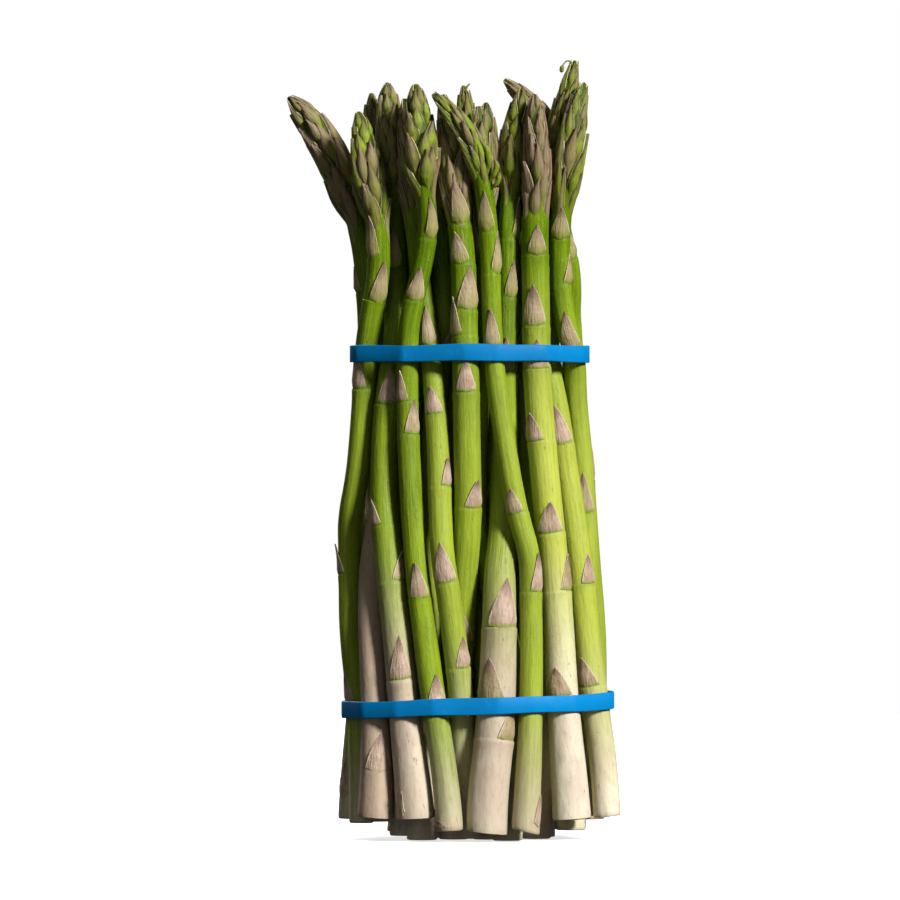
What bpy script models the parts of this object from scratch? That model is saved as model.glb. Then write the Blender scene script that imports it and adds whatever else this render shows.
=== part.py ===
"""A bundle of asparagus: 34 spears standing on their cut ends, held by two flat rubber bands.

Metres, +Z up, the origin on the ground under the middle of the bundle. The front of the bundle faces -Y.
Heights, places and widths of the spears are written in millimetres, as named values and route points.
"""

import math
import random

import bmesh
import bpy
import numpy as np
from mathutils import Matrix, Vector, geometry

MM = 0.001

# The bundle as a whole, in millimetres
BAND_LOW = 41
BAND_HIGH = 149
TOP = 240
DEPTH_TO_WIDTH = 0.77
MIDDLE = ((0, 8), (BAND_LOW, 7.6), (75, 5), (BAND_HIGH, 4.8), (185, 3.2), (TOP, 3.6))
HALF_WIDTH = ((0, 43.5), (BAND_LOW, 39.8), (75, 38.6), (110, 37), (BAND_HIGH, 34), (185, 33), (TOP, 39))

# Settling of the spears against each other
LEVEL_STEP = 6
SETTLING_ROUNDS = 700
TIGHTENING_ROUNDS = 500
PUSHING_ROUNDS = 120
SHOWN_EASE = 0.18
HIDDEN_EASE = 0.35
STEM_MARGIN = 0.6
HEAD_MARGIN = 0.5
LAYER_DEPTH = 8.5
SHOWN_ROOM = 3

# Spears and their scales
PATH_STEP = 1.0
SCALE_PROUD = 0.5
BRACT_LENGTH = 6.0
BRACT_SPREAD = 52
GOLDEN_TURN = 137.5
HEAD_CORE = 0.78
SCALE_TIP = 0.5
SCALE_VALLEY = 0.25
SCALE_POCKET = 0.2
POCKET_LIFT = 0.06
VALLEY_OUT = 0.9
SCALE_SEED = 5
PALE_SPEARS = (3, 9)

# Sides round a spear, spacing of the rings along its stem, and tiers of scales on its head
OUTER_DETAIL = (8, 17, 6)
INNER_DETAIL = (6, 27, 4)

# Rubber bands
BAND_HEIGHT = 5.1
BAND_THICKNESS = 1.0
BAND_GAP = 0.3
LOWER_BAND_TILT = 2.0
BAND_ROUNDING = 16

GREEN = (0.24, 0.36, 0.03)
PALE = (0.62, 0.52, 0.35)
BLUE = (0.0, 0.19, 0.55)

# The spears that show from the front, left to right. across holds (height, place sideways) from foot to tip,
# deep holds (height, layers behind the front of the bundle), thick holds the diameters at the foot, the lower
# band, the upper band and the head, blunt makes the head's tip fuller, and bracts holds (height, direction
# faced in degrees, 0 to the front and 90 to the right).
FRONT_SPEARS = (
    dict(foot=6.0, neck=187,
         across=((0, -29.4), (20, -29.4), (41, -28.2), (75, -27.7), (110, -27), (149, -25.6), (180, -27.2),
                 (191, -29.2), (201, -33.2), (212, -37.2), (222, -43), (228, -49.7)),
         deep=((0, 1.9), (41, 1.6), (149, 1.2), (228, 0.6)), thick=(9.0, 8.0, 6.6, 10.8), blunt=5,
         bracts=((60, -60), (168, -70))),
    dict(foot=5.0, neck=187,
         across=((0, -27.4), (20, -27.9), (41, -28.5), (75, -30.8), (110, -29.5), (149, -25.8),
                 (180, -22.4), (200, -24.4), (223, -28.9)),
         deep=((0, 1.1), (20, 1.0), (41, 0.6), (75, 0.1), (110, 0), (223, 0)), thick=(7.6, 7.4, 7.2, 10.6),
         bracts=((42, -60), (81, -85), (138, -50), (165, 20), (178, -40))),
    dict(foot=6.8, neck=190,
         across=((0, -22.9), (20, -23.5), (41, -24), (75, -25.5), (110, -24.3), (149, -22.2), (185, -23.4),
                 (229, -24.9)),
         deep=((0, 0), (41, 0), (75, 0.8), (229, 1.3)), thick=(11.6, 8.6, 6.8, 8.0),
         bracts=((96, -110), (160, 0))),
    dict(foot=6.8, neck=195,
         across=((0, -12), (20, -13.2), (41, -15.4), (75, -19.2), (110, -21.5), (149, -19.1), (185, -18.8),
                 (232, -20)),
         deep=((0, 0), (75, 0), (110, 0.3), (149, 0.7), (232, 1.0)), thick=(12.0, 9.6, 7.8, 9.0), blunt=4,
         bracts=((49, 0), (79, 50), (96, -60), (133, -10), (175, 0))),
    dict(foot=3.4, neck=196,
         across=((0, -1.0), (22, -2.6), (41, -5.5), (75, -10.2), (110, -13.1), (149, -13.8), (166, -12),
                 (187, -6.3), (205, -9.0), (231, -11.4)),
         deep=((0, 0), (41, 0), (75, -0.3), (149, 0), (231, -0.1)), thick=(8.5, 7.6, 6.4, 11.0),
         bracts=((38, 20), (74, 0), (124, 35), (134, -40), (165, 0), (184, 30))),
    dict(foot=0.6, neck=190,
         across=((0, 5.2), (20, 4.4), (41, 2.8), (75, -1.1), (110, -3.5), (149, -6.8), (185, -11.4),
                 (227, -15)),
         deep=((0, 1.1), (41, 0.6), (75, 0.1), (149, 0.3), (185, 1.1), (227, 1.2)),
         thick=(8.6, 7.8, 6.4, 7.6), bracts=((53, 40), (79, 0), (108, 50), (130, -15), (151, 0))),
    dict(foot=0.0, neck=188,
         across=((0, 0.5), (20, 1.5), (41, 2.2), (75, 3.1), (110, 4), (149, 4.2), (185, 2.8), (228, -3)),
         deep=((0, 2.2), (75, 0.9), (110, 0.5), (149, 0.3), (228, 0.6)), thick=(9.4, 8.4, 8.0, 9.0),
         bracts=((61, 0), (102, 35), (137, 0), (154, -60), (162, 25), (176, -15), (188, 10))),
    dict(foot=0.0, neck=190,
         across=((0, 9.8), (75, 9.5), (110, 10.8), (149, 10), (185, 8), (231, 3.2)),
         deep=((0, 1.4), (110, 1.3), (231, 1.6)), thick=(8.6, 8.2, 7.0, 8.2), bracts=((103, 30), (165, 0))),
    dict(foot=2.5, neck=194,
         across=((0, 7.6), (20, 10.8), (41, 13.3), (75, 15.1), (110, 15.7), (149, 16.3), (185, 17.5),
                 (205, 17.0), (230, 21.2)),
         deep=((0, 0), (41, 0), (75, 0.5), (110, 1.0), (230, 0.4)), thick=(12.4, 11.6, 6.6, 9.2),
         bracts=((31, 50), (43, -30), (65, 20), (143, 0), (166, 20), (184, 60))),
    dict(foot=3.0, neck=200,
         across=((0, 21.8), (20, 23.1), (41, 23.8), (75, 22.9), (110, 17.8), (149, 12), (185, 11.3),
                 (200, 9.6), (209, 9.3), (217, 6), (223, 1), (228, -4.9)),
         deep=((0, 0), (75, -0.2), (110, -0.4), (149, -0.4), (228, -0.6)), thick=(8.6, 7.0, 6.2, 7.4),
         bracts=((76, 50), (100, -20), (151, 0), (173, 50), (186, -10))),
    dict(foot=6.5, neck=190,
         across=((0, 37.6), (20, 35.6), (41, 33.6), (75, 31.8), (110, 28.2), (149, 25.4), (185, 26),
                 (205, 25.5), (228, 24.9)),
         deep=((0, 0), (110, -0.1), (149, 0), (228, -0.1)), thick=(11.6, 9.7, 8.7, 8.6),
         bracts=((44, -20), (76, 60), (94, 0), (122, -40), (144, 0), (157, -10), (179, 10))),
    dict(foot=7.0, neck=197,
         across=((0, 49.8), (20, 47.4), (41, 44), (75, 40.7), (110, 35), (130, 32.2), (149, 30.3),
                 (185, 30.5), (205, 31), (217, 30.2), (223.4, 27.7), (228.6, 24), (233, 17.5)),
         deep=((0, 0), (75, 0.1), (110, 0.4), (130, 0.7), (149, 1.2), (185, 1.75), (210, 1.9), (233, 2.0)),
         thick=(8.6, 8.6, 7.2, 7.8), blunt=4, bracts=((47, -30), (78, 40), (121, 0))),
    dict(foot=2.8, neck=190,
         across=((0, 36.5), (41, 39), (75, 41), (110, 40.2), (130, 38.3), (149, 34.9), (185, 33.2),
                 (201, 34.2), (212, 35.4), (222, 36.6), (232, 40)),
         deep=((0, 1.3), (75, 1.2), (110, 0.9), (130, 0.5), (149, 0.3), (190, 0), (232, 0)),
         thick=(9.4, 7.6, 6.6, 9.2), bracts=((100, 0), (151, 0), (170, 70), (184, 0))),
    dict(foot=7.0, neck=196,
         across=((0, 43), (41, 43), (75, 42), (110, 40), (130, 38), (149, 35.6), (185, 32), (205, 30.5),
                 (217, 31.5), (227, 35), (239, 37.5)),
         deep=((0, 1.6), (110, 1.8), (149, 1.35), (185, 0.85), (239, 0.55)), thick=(8.2, 7.6, 6.8, 8.6),
         bracts=((110, 80), (178, 20))),
)

# The hidden spears stand in rings: how many, how far out, and the first and last direction in degrees, where
# 90 is to the back
HIDDEN_RINGS = ((10, 1.0, 10, 164), (7, 0.6, -20, 285), (3, 0.2, 90, 330))
HIDDEN_SEED = 27
STANDING_WIDTH = 24
FOOT_RISE = 0.3


def smooth_values(knots, heights):
    """Values on a smooth curve through knots of (height, value), which runs on straight past its top."""
    x = np.array([k[0] for k in knots], dtype=float)
    y = np.array([k[1] for k in knots], dtype=float)
    slope = np.gradient(y, x)
    past_top = np.clip(heights - x[-1], 0, None) * slope[-1]
    heights = np.clip(heights, x[0], x[-1])
    i = np.clip(np.searchsorted(x, heights, side="right") - 1, 0, len(x) - 2)
    width = x[i + 1] - x[i]
    t = (heights - x[i]) / width
    rise = y[i + 1] - y[i]
    bend = t * (1 - t) * ((1 - t) * (slope[i] * width - rise) - t * (slope[i + 1] * width - rise))
    return y[i] + t * rise + bend + past_top


def straight_values(knots, heights):
    """Values on straight runs between knots of (height, value)."""
    return np.interp(heights, [k[0] for k in knots], [k[1] for k in knots])


def head_outline(t, blunt):
    """A head's radius, as a share of its largest, from its base at 0 to its tip at 1."""
    past_shoulder = np.clip((t - 0.3) / 0.7, 0, 1)
    return 1 - 0.72 * past_shoulder**blunt


def spear_radius(spear, heights):
    """The outer radius of a spear at the given heights, with its head."""
    foot, low, high, head = (d / 2 for d in spear["thick"])
    tip = spear["tip"]
    stem = np.interp(heights, (spear["foot"], BAND_LOW, BAND_HIGH, spear["neck"]),
                     (foot, low, high, high * 0.94))
    t = np.clip((heights - spear["neck"]) / (tip - spear["neck"]), 0, 1)
    swell = np.clip(t / 0.3, 0, 1)
    swell = swell * swell * (3 - 2 * swell)
    return (stem + (head - stem) * swell) * head_outline(t, spear.get("blunt", 2.5))


def hidden_spears(rng):
    """The spears inside and at the back of the bundle, in rings, each with its own size and lean."""
    spears = []
    for count, out, first, last in HIDDEN_RINGS:
        for k in range(count):
            turn = math.radians(first + (last - first) * k / (count - 1))
            twist = math.radians(rng.uniform(-9, 9))
            foot_size = rng.uniform(8.0, 10.2)
            neck = rng.uniform(182, 194)
            beside = max(0.0, abs(math.cos(turn)) * out * HALF_WIDTH[0][1] - STANDING_WIDTH)
            spears.append(dict(
                foot=beside * FOOT_RISE * rng.uniform(0.8, 1.2),
                neck=neck,
                tip=neck + rng.uniform(31, 37),
                ring=(out, turn - twist, turn + twist),
                thick=(foot_size, foot_size * 0.86, rng.uniform(6.8, 8.4), rng.uniform(8.0, 9.6)),
                bracts=hidden_bracts(rng, neck, rng.uniform(25, 50) if out == 1 else BAND_HIGH),
            ))
    return spears


def hidden_bracts(rng, neck, height):
    """Bracts up a hidden spear from a height, a golden turn apart and closer together towards the head."""
    bracts = []
    facing = rng.uniform(0, 360)
    while height < neck - 8:
        bracts.append((height, facing))
        facing += GOLDEN_TURN + rng.uniform(-15, 15)
        height += rng.uniform(0.8, 1.2) * (52 - 0.15 * height)
    return bracts


def wanted_places(spear, levels):
    """Where a spear would stand at each level if it had the bundle to itself."""
    half = straight_values(HALF_WIDTH, levels)
    middle = straight_values(MIDDLE, levels)
    radius = spear_radius(spear, levels)
    if "ring" in spear:
        out, low_turn, high_turn = spear["ring"]
        turn = low_turn + (high_turn - low_turn) * levels / TOP
        wide = (half - radius) * out
        deep = (half * DEPTH_TO_WIDTH - radius) * out
        return np.column_stack((middle + wide * np.cos(turn), deep * np.sin(turn)))
    across = smooth_values(spear["across"], levels)
    share = np.clip((across - middle) / half, -0.95, 0.95)
    front = -(half * DEPTH_TO_WIDTH * np.sqrt(1 - share**2) - radius)
    return np.column_stack((across, front + LAYER_DEPTH * straight_values(spear["deep"], levels)))


def settle(spears, levels):
    """Push the spears apart until none cuts another, and keep the front ones where they show."""
    wanted = np.array([wanted_places(s, levels) for s in spears])
    radius = np.array([spear_radius(s, levels) for s in spears])
    neck = np.array([s["neck"] for s in spears])[:, None]
    tip = np.array([s["tip"] for s in spears])[:, None]
    margin = np.where(levels[None, :] > neck, HEAD_MARGIN, STEM_MARGIN)
    reach = np.where(levels[None, :] > tip + LEVEL_STEP, -100.0, radius + margin)
    shown = np.array(["ring" not in s for s in spears])
    hold = np.zeros((len(spears), 1, 2))
    hold[shown] = (0.5, 0.03)
    hold[~shown] = (0.015, 0.015)
    give = np.ones((len(spears), 1, 2))
    give[shown] = (0.3, 1.0)
    ease = np.where(shown, SHOWN_EASE, HIDDEN_EASE)[:, None, None]
    middle = np.column_stack((straight_values(MIDDLE, levels), np.zeros(len(levels))))
    half = straight_values(HALF_WIDTH, levels)
    room = np.stack((half[None, :] - radius, half[None, :] * DEPTH_TO_WIDTH - radius), axis=2)
    room[shown, :, 0] += SHOWN_ROOM
    kept_in = (levels[None, :] < neck) & np.ones_like(radius, dtype=bool)
    place = wanted.copy()
    for turn in range(SETTLING_ROUNDS):
        closing = turn > TIGHTENING_ROUNDS
        last = turn > SETTLING_ROUNDS - PUSHING_ROUNDS
        steps = np.gradient(place, levels, axis=1)
        lean = steps / np.sqrt(1 + (steps**2).sum(axis=2, keepdims=True))
        apart = place[:, None] - place[None, :]
        distance = np.sqrt((apart**2).sum(axis=3)) + 1e-6
        toward = apart / distance[..., None]
        near = 1 - (lean[:, None] * toward).sum(axis=3) ** 2
        far = 1 - (lean[None, :] * toward).sum(axis=3) ** 2
        need = reach[:, None] / np.sqrt(near) + reach[None, :] / np.sqrt(far)
        overlap = np.clip(need - distance, 0, None)
        overlap[np.arange(len(spears)), np.arange(len(spears))] = 0
        push = (toward * (overlap * 0.5)[..., None]).sum(axis=1)
        place += push * (0.9 if last else 0.7 * give)
        if not last:
            place += (wanted - place) * hold * (0.1 if closing else 1)
            share = (place - middle) / room
            past = np.sqrt((share**2).sum(axis=2, keepdims=True))
            inward = (place - middle) * (1 / np.maximum(past, 1) - 1)
            place += inward * give * 0.5 * kept_in[..., None]
        smooth = ease * (0.1 if last else 0.3 if closing else 1)
        between = (place[:, :-2] + place[:, 2:]) / 2
        place[:, 1:-1] += (between - place[:, 1:-1]) * smooth
        place[:, 0] += (2 * place[:, 1] - place[:, 2] - place[:, 0]) * smooth[:, 0]
    return place


class Path:
    """A spear's centre line, with places and directions by the length along it."""

    def __init__(self, spear, levels, place):
        heights = np.arange(spear["foot"], spear["tip"], PATH_STEP)
        heights = np.append(heights, spear["tip"])
        x = smooth_values(list(zip(levels, place[:, 0])), heights)
        y = smooth_values(list(zip(levels, place[:, 1])), heights)
        self.points = np.column_stack((x, y, heights))
        steps = np.linalg.norm(np.diff(self.points, axis=0), axis=1)
        self.along = np.concatenate(([0.0], np.cumsum(steps)))
        self.radii = spear_radius(spear, heights)
        self.length = self.along[-1]
        self.neck = self.along_at(spear["neck"])

    def along_at(self, height):
        return float(np.interp(height, self.points[:, 2], self.along))

    def at(self, along):
        return Vector([float(np.interp(along, self.along, self.points[:, k])) for k in range(3)])

    def radius(self, along):
        return float(np.interp(along, self.along, self.radii))

    def out(self, along, facing):
        """The direction that points out of the spear there, with facing in degrees."""
        tangent = (self.at(along + 1) - self.at(along - 1)).normalized()
        front = Vector((0, -1, 0))
        front = (front - front.dot(tangent) * tangent).normalized()
        right = tangent.cross(front)
        angle = math.radians(facing)
        return front * math.cos(angle) + right * math.sin(angle)


def plan_spears():
    """Every spear of the bundle with its settled path, centred on the origin."""
    rng = random.Random(HIDDEN_SEED)
    spears = [dict(s, tip=s["across"][-1][0]) for s in FRONT_SPEARS] + hidden_spears(rng)
    levels = np.arange(0.0, TOP + 2 * LEVEL_STEP, LEVEL_STEP)
    places = settle(spears, levels)
    for spear, place in zip(spears, places):
        spear["path"] = Path(spear, levels, place)
    sides = [np.concatenate([s["path"].points[:, k] + side * s["path"].radii
                             for s in spears for side in (-1, 1)]) for k in (0, 1)]
    centre = np.array([(side.min() + side.max()) / 2 for side in sides] + [0.0])
    for spear in spears:
        spear["path"].points = spear["path"].points - centre
    return spears


def material(name, color, roughness):
    made = bpy.data.materials.new(name)
    made.use_nodes = True
    shader = made.node_tree.nodes["Principled BSDF"]
    shader.inputs["Base Color"].default_value = (*color, 1)
    shader.inputs["Roughness"].default_value = roughness
    shader.inputs["Metallic"].default_value = 0.0
    made.diffuse_color = (*color, 1)
    return made


def add_object(name, mesh, collection, look=None):
    made = bpy.data.objects.new(name, mesh)
    if look:
        mesh.materials.append(look)
    collection.objects.link(made)
    return made


def ring(path, turn, sides, stop):
    """A ring of places round a spear. stop gives how far along it and how far from its line each one is."""
    places = []
    for k in range(sides):
        along, out = stop(k)
        facing = turn + 360 * k / sides
        places.append((path.at(along) + path.out(along, facing) * out) * MM)
    return places


def stem_rings(path, turn, sides, spacing):
    """The rings of the stem, the first level with the ground for a flat cut end."""
    foot = path.at(0)
    cut = ring(path, turn, sides, lambda k: (0.0, path.radius(0)))
    rings = [[Vector((place.x, place.y, foot.z * MM)) for place in cut]]
    runs = round(path.neck / spacing)
    for run in range(1, runs + 1):
        along = path.neck * run / runs
        rings.append(ring(path, turn, sides, lambda k: (along, path.radius(along))))
    return rings


def head_rings(path, turn, sides, tiers):
    """The rings of the head: tiers of pointed scales, each tier set between the scales of the one below."""
    head = path.length - path.neck
    edges = [path.neck + head * (k / tiers) ** 0.85 for k in range(tiers + 1)]
    rings = []
    for tier in range(tiers - 1):
        start, end = edges[tier], edges[tier + 1]
        long = end - start

        def outer_rim(k):
            point = (k + tier) % 2 == 0
            along = end + (SCALE_TIP if point else -SCALE_VALLEY) * long
            return along, path.radius(along) * (1.0 if point else VALLEY_OUT)

        def inner_rim(k):
            point = (k + tier) % 2 == 0
            along = end + (SCALE_POCKET if point else POCKET_LIFT - SCALE_VALLEY) * long
            return along, path.radius(along) * HEAD_CORE

        rings.append(ring(path, turn, sides, outer_rim))
        rings.append(ring(path, turn, sides, inner_rim))
    rings.append(ring(path, turn, sides, lambda k: (path.length, path.radius(path.length))))
    return rings


def loft(rings):
    """A closed mesh through rings of places, with a flat face at each end."""
    work = bmesh.new()
    rows = [[work.verts.new(place) for place in places] for places in rings]
    for low, high in zip(rows, rows[1:]):
        for k in range(len(low)):
            after = (k + 1) % len(low)
            work.faces.new((low[k], low[after], high[after], high[k]))
    work.faces.new(reversed(rows[0]))
    work.faces.new(rows[-1])
    bmesh.ops.recalc_face_normals(work, faces=work.faces)
    mesh = bpy.data.meshes.new("spear")
    work.to_mesh(mesh)
    work.free()
    return mesh


def bract_mesh(path, height, facing):
    """One bract of the stem: a low wedge with a V base and a pointed tip, its root sunk in the stem."""
    start = path.along_at(height)
    radius = path.radius(start)
    long = BRACT_LENGTH + radius
    corners = []
    for rise, turn, out in (
        (0.0, 0, radius + SCALE_PROUD),
        (0.1, -BRACT_SPREAD, radius),
        (0.1, BRACT_SPREAD, radius),
        (0.55, 0, radius + SCALE_PROUD),
        (1.0, 0, radius),
        (0.35, 0, radius * 0.4),
    ):
        along = start + rise * long
        corners.append((path.at(along) + path.out(along, facing + turn) * out) * MM)
    work = bmesh.new()
    for corner in corners:
        work.verts.new(corner)
    bmesh.ops.convex_hull(work, input=work.verts)
    mesh = bpy.data.meshes.new("bract")
    work.to_mesh(mesh)
    work.free()
    return mesh


def build_spear(name, spear, collection, look, rng):
    """One spear: its stem and scaly head, with every bract fused on."""
    path = spear["path"]
    outer = spear.get("ring", (1,))[0] == 1
    sides, spacing, tiers = OUTER_DETAIL if outer else INNER_DETAIL
    turn = rng.uniform(0, 360)
    stem = loft(stem_rings(path, turn, sides, spacing) + head_rings(path, turn, sides, tiers))
    made = add_object(name, stem, collection, look)
    bracts = bpy.data.collections.new("bracts_of_" + name)
    bpy.context.scene.collection.children.link(bracts)
    for height, facing in spear["bracts"]:
        add_object("bract", bract_mesh(path, height, facing), bracts)
    join = made.modifiers.new("fuse bracts", "BOOLEAN")
    join.operation = "UNION"
    join.operand_type = "COLLECTION"
    join.collection = bracts
    join.solver = "MANIFOLD"
    seen = made.evaluated_get(bpy.context.evaluated_depsgraph_get())
    fused = bpy.data.meshes.new_from_object(seen)
    made.modifiers.remove(join)
    made.data = fused
    bpy.data.meshes.remove(stem)
    for bract in list(bracts.objects):
        mesh = bract.data
        bpy.data.objects.remove(bract)
        bpy.data.meshes.remove(mesh)
    bpy.data.collections.remove(bracts)
    fused.shade_smooth()
    fused.set_sharp_from_angle(angle=math.radians(35))
    return made


def points_in_band(mesh, into_band, half):
    """Where the edges of a spear pass between the two edges of a band, seen in the band's own frame."""
    places = [into_band @ v.co for v in mesh.vertices]
    found = []
    for edge in mesh.edges:
        start, end = (places[k] for k in edge.vertices)
        rise = end.z - start.z
        if abs(rise) < 1e-9:
            span = (0.0, 1.0) if abs(start.z) <= half else ()
        else:
            low, high = sorted(((-half - start.z) / rise, (half - start.z) / rise))
            span = (max(0.0, low), min(1.0, high)) if low < 1 and high > 0 else ()
        found += [start.lerp(end, t).to_2d() for t in span]
    return found


def build_band(name, height, tilt, spears, collection, look):
    """A flat rubber band stretched round the spears, straight where it passes from one to the next."""
    frame = Matrix.Translation((0, 0, height * MM)) @ Matrix.Rotation(math.radians(-tilt), 4, "Y")
    half = BAND_HEIGHT * MM / 2
    into_band = frame.inverted()
    touched = [p for spear in spears for p in points_in_band(spear.data, into_band, half)]
    hull = [touched[k] for k in geometry.convex_hull_2d(touched)]
    reach = (BAND_GAP + BAND_THICKNESS / 2) * MM
    rounded = []
    for corner in hull:
        for k in range(BAND_ROUNDING):
            turn = math.tau * k / BAND_ROUNDING
            rounded.append(corner + Vector((math.cos(turn), math.sin(turn))) * reach)
    outline = [rounded[k] for k in geometry.convex_hull_2d(rounded)]
    curve = bpy.data.curves.new(name, "CURVE")
    curve.dimensions = "2D"
    curve.fill_mode = "NONE"
    curve.extrude = half
    spline = curve.splines.new("POLY")
    spline.points.add(len(outline) - 1)
    spline.use_cyclic_u = True
    for point, place in zip(spline.points, outline):
        point.co = (place.x, place.y, 0, 1)
    holder = bpy.data.objects.new("ribbon", curve)
    bpy.context.scene.collection.objects.link(holder)
    mesh = bpy.data.meshes.new_from_object(holder.evaluated_get(bpy.context.evaluated_depsgraph_get()))
    bpy.data.objects.remove(holder)
    bpy.data.curves.remove(curve)
    made = add_object(name, mesh, collection, look)
    made.matrix_world = frame
    wall = made.modifiers.new("thickness", "SOLIDIFY")
    wall.thickness = BAND_THICKNESS * MM
    wall.offset = 0
    wall.use_even_offset = True
    return made


def main():
    for old in list(bpy.data.objects):
        bpy.data.objects.remove(old)
    bundle = bpy.data.collections.new("asparagus_bundle")
    bpy.context.scene.collection.children.link(bundle)
    green = material("asparagus_green", GREEN, 0.45)
    pale = material("asparagus_pale", PALE, 0.55)
    blue = material("rubber_blue", BLUE, 0.5)
    rng = random.Random(SCALE_SEED)
    spears = []
    for number, spear in enumerate(plan_spears(), 1):
        look = pale if number in PALE_SPEARS else green
        spears.append(build_spear(f"spear_{number:02d}", spear, bundle, look, rng))
    build_band("band_upper", BAND_HIGH, 0.0, spears, bundle, blue)
    build_band("band_lower", BAND_LOW, LOWER_BAND_TILT, spears, bundle, blue)


main()
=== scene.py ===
"""A bundle of asparagus standing on its cut ends, held by two blue rubber bands: the finished surfaces.

The spears settle against each other here by the same rule, with the same values, as the solids do.
Lengths are in millimetres until a mesh is made, and the front of the bundle faces -Y.
"""

import math
import random

import bpy
import numpy as np
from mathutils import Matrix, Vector, geometry


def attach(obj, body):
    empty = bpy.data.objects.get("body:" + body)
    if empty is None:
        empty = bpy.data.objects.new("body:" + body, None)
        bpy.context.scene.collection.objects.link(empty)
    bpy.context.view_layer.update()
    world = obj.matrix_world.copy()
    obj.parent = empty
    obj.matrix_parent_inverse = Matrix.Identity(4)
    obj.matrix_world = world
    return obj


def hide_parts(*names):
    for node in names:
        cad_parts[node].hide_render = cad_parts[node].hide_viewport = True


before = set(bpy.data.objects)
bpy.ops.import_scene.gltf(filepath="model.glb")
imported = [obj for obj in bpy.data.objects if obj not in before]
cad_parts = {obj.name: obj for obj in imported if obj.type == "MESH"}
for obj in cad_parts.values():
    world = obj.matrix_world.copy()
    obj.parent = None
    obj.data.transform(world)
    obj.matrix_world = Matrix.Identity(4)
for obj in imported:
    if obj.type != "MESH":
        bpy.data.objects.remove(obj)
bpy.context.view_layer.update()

MM = 0.001

# The bundle as a whole, in millimetres
BAND_LOW = 41
BAND_HIGH = 149
TOP = 240
DEPTH_TO_WIDTH = 0.77
MIDDLE = ((0, 8), (BAND_LOW, 7.6), (75, 5), (BAND_HIGH, 4.8), (185, 3.2), (TOP, 3.6))
HALF_WIDTH = ((0, 43.5), (BAND_LOW, 39.8), (75, 38.6), (110, 37), (BAND_HIGH, 34), (185, 33), (TOP, 39))

# Settling of the spears against each other
LEVEL_STEP = 6
SETTLING_ROUNDS = 700
TIGHTENING_ROUNDS = 500
PUSHING_ROUNDS = 120
SHOWN_EASE = 0.18
HIDDEN_EASE = 0.35
STEM_MARGIN = 0.6
HEAD_MARGIN = 0.5
LAYER_DEPTH = 8.5
SHOWN_ROOM = 3

# Spears and stems. A stem bulges below each bract and dips a little above it.
PATH_STEP = 1.0
SLOPE_REACH = 2
GOLDEN_TURN = 137.5
STEM_START = 1.0
SLANT_EASE = 10
RIBS = (7, 11)
STEM_FLATNESS = 0.02
NODE_RINGS = (-3.0, -1.2, -0.3, 0.15, 0.6, 1.6)
NODE_BULGE = 0.055
NODE_BULGE_LENGTH = 2.6
NODE_DIP = 0.012
NODE_DIP_LENGTH = 1.2
NODE_LINE_LENGTH = 0.45
SMOOTH_ANGLE = 50
DRESS_SEED = 11

# The rings of a cut end: the length along the stem, and the share of its radius
CUT_RINGS = ((0, 0.02), (0, 0.5), (0, 0.9), (0.3, 0.98))

# Sides and ring spacing of a stem, points across and up a scale, and scales on a head
OUTER_DETAIL = ((28, 2.2), (7, 9), 34)
INNER_DETAIL = ((16, 4.5), (5, 6), 24)

# Bracts and scales: how thick they are, and the skew of their tips in degrees
SCALE_SEED = 5
ROOT_THICKNESS = 0.8
SCALE_THICKNESS = 0.4
EDGE_THINNING = 0.15
THICK_ROOT = 0.15
SKEW = (-12, 12)

# Bracts on the stem, with half their width in degrees. They are leafier near the head.
BRACT_LENGTH = 6.2
BRACT_STRETCH = (0.8, 1.3)
BRACT_SPREAD = (38, 62)
LEAFY_HEIGHT = 140
LEAFY_RUN = 50

# A head's core as a share of its radius, and its round tip as shares of its length
HEAD_CORE = 0.62
TIP_CORE = 0.8
NECK_LENGTH = 9
TIP_START = 0.86
TIP_END = 1.01

# Scales of a head, placed and sized as shares of its length, with half their width in degrees
SCALES_START = -0.16
SCALES_RUN = 1.03
RAGGED_START = 0.72
SCALE_LENGTH = 0.43
SCALE_SHORTENING = 0.23
SCALE_STRETCH = (0.82, 1.2)
SCALE_SPREAD = 31
SCALE_WIDENING = 7
SPREAD_CHANGE = (0.88, 1.15)
CREASE_DEPTH = (0.16, 0.26)
PLUMPNESS = (0.97, 1.04)
TURN_CHANGE = (-14, 14)

# Torn strips and peels near the feet: the spear's number, then height, direction, length, half width in
# degrees and how far the free end stands off
PEELS = (
    (4, 1.2, -40, 7.5, 9, 0.5),
    (4, 0.4, 80, 3.0, 30, 0.7),
    (3, 13.5, 10, 12.0, 50, 0.1),
    (5, 0.4, -50, 2.4, 40, 0.5),
    (10, 1.5, 60, 10.0, 26, 0.2),
    (1, 6.0, -50, 12.0, 36, 0.2),
)

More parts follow.
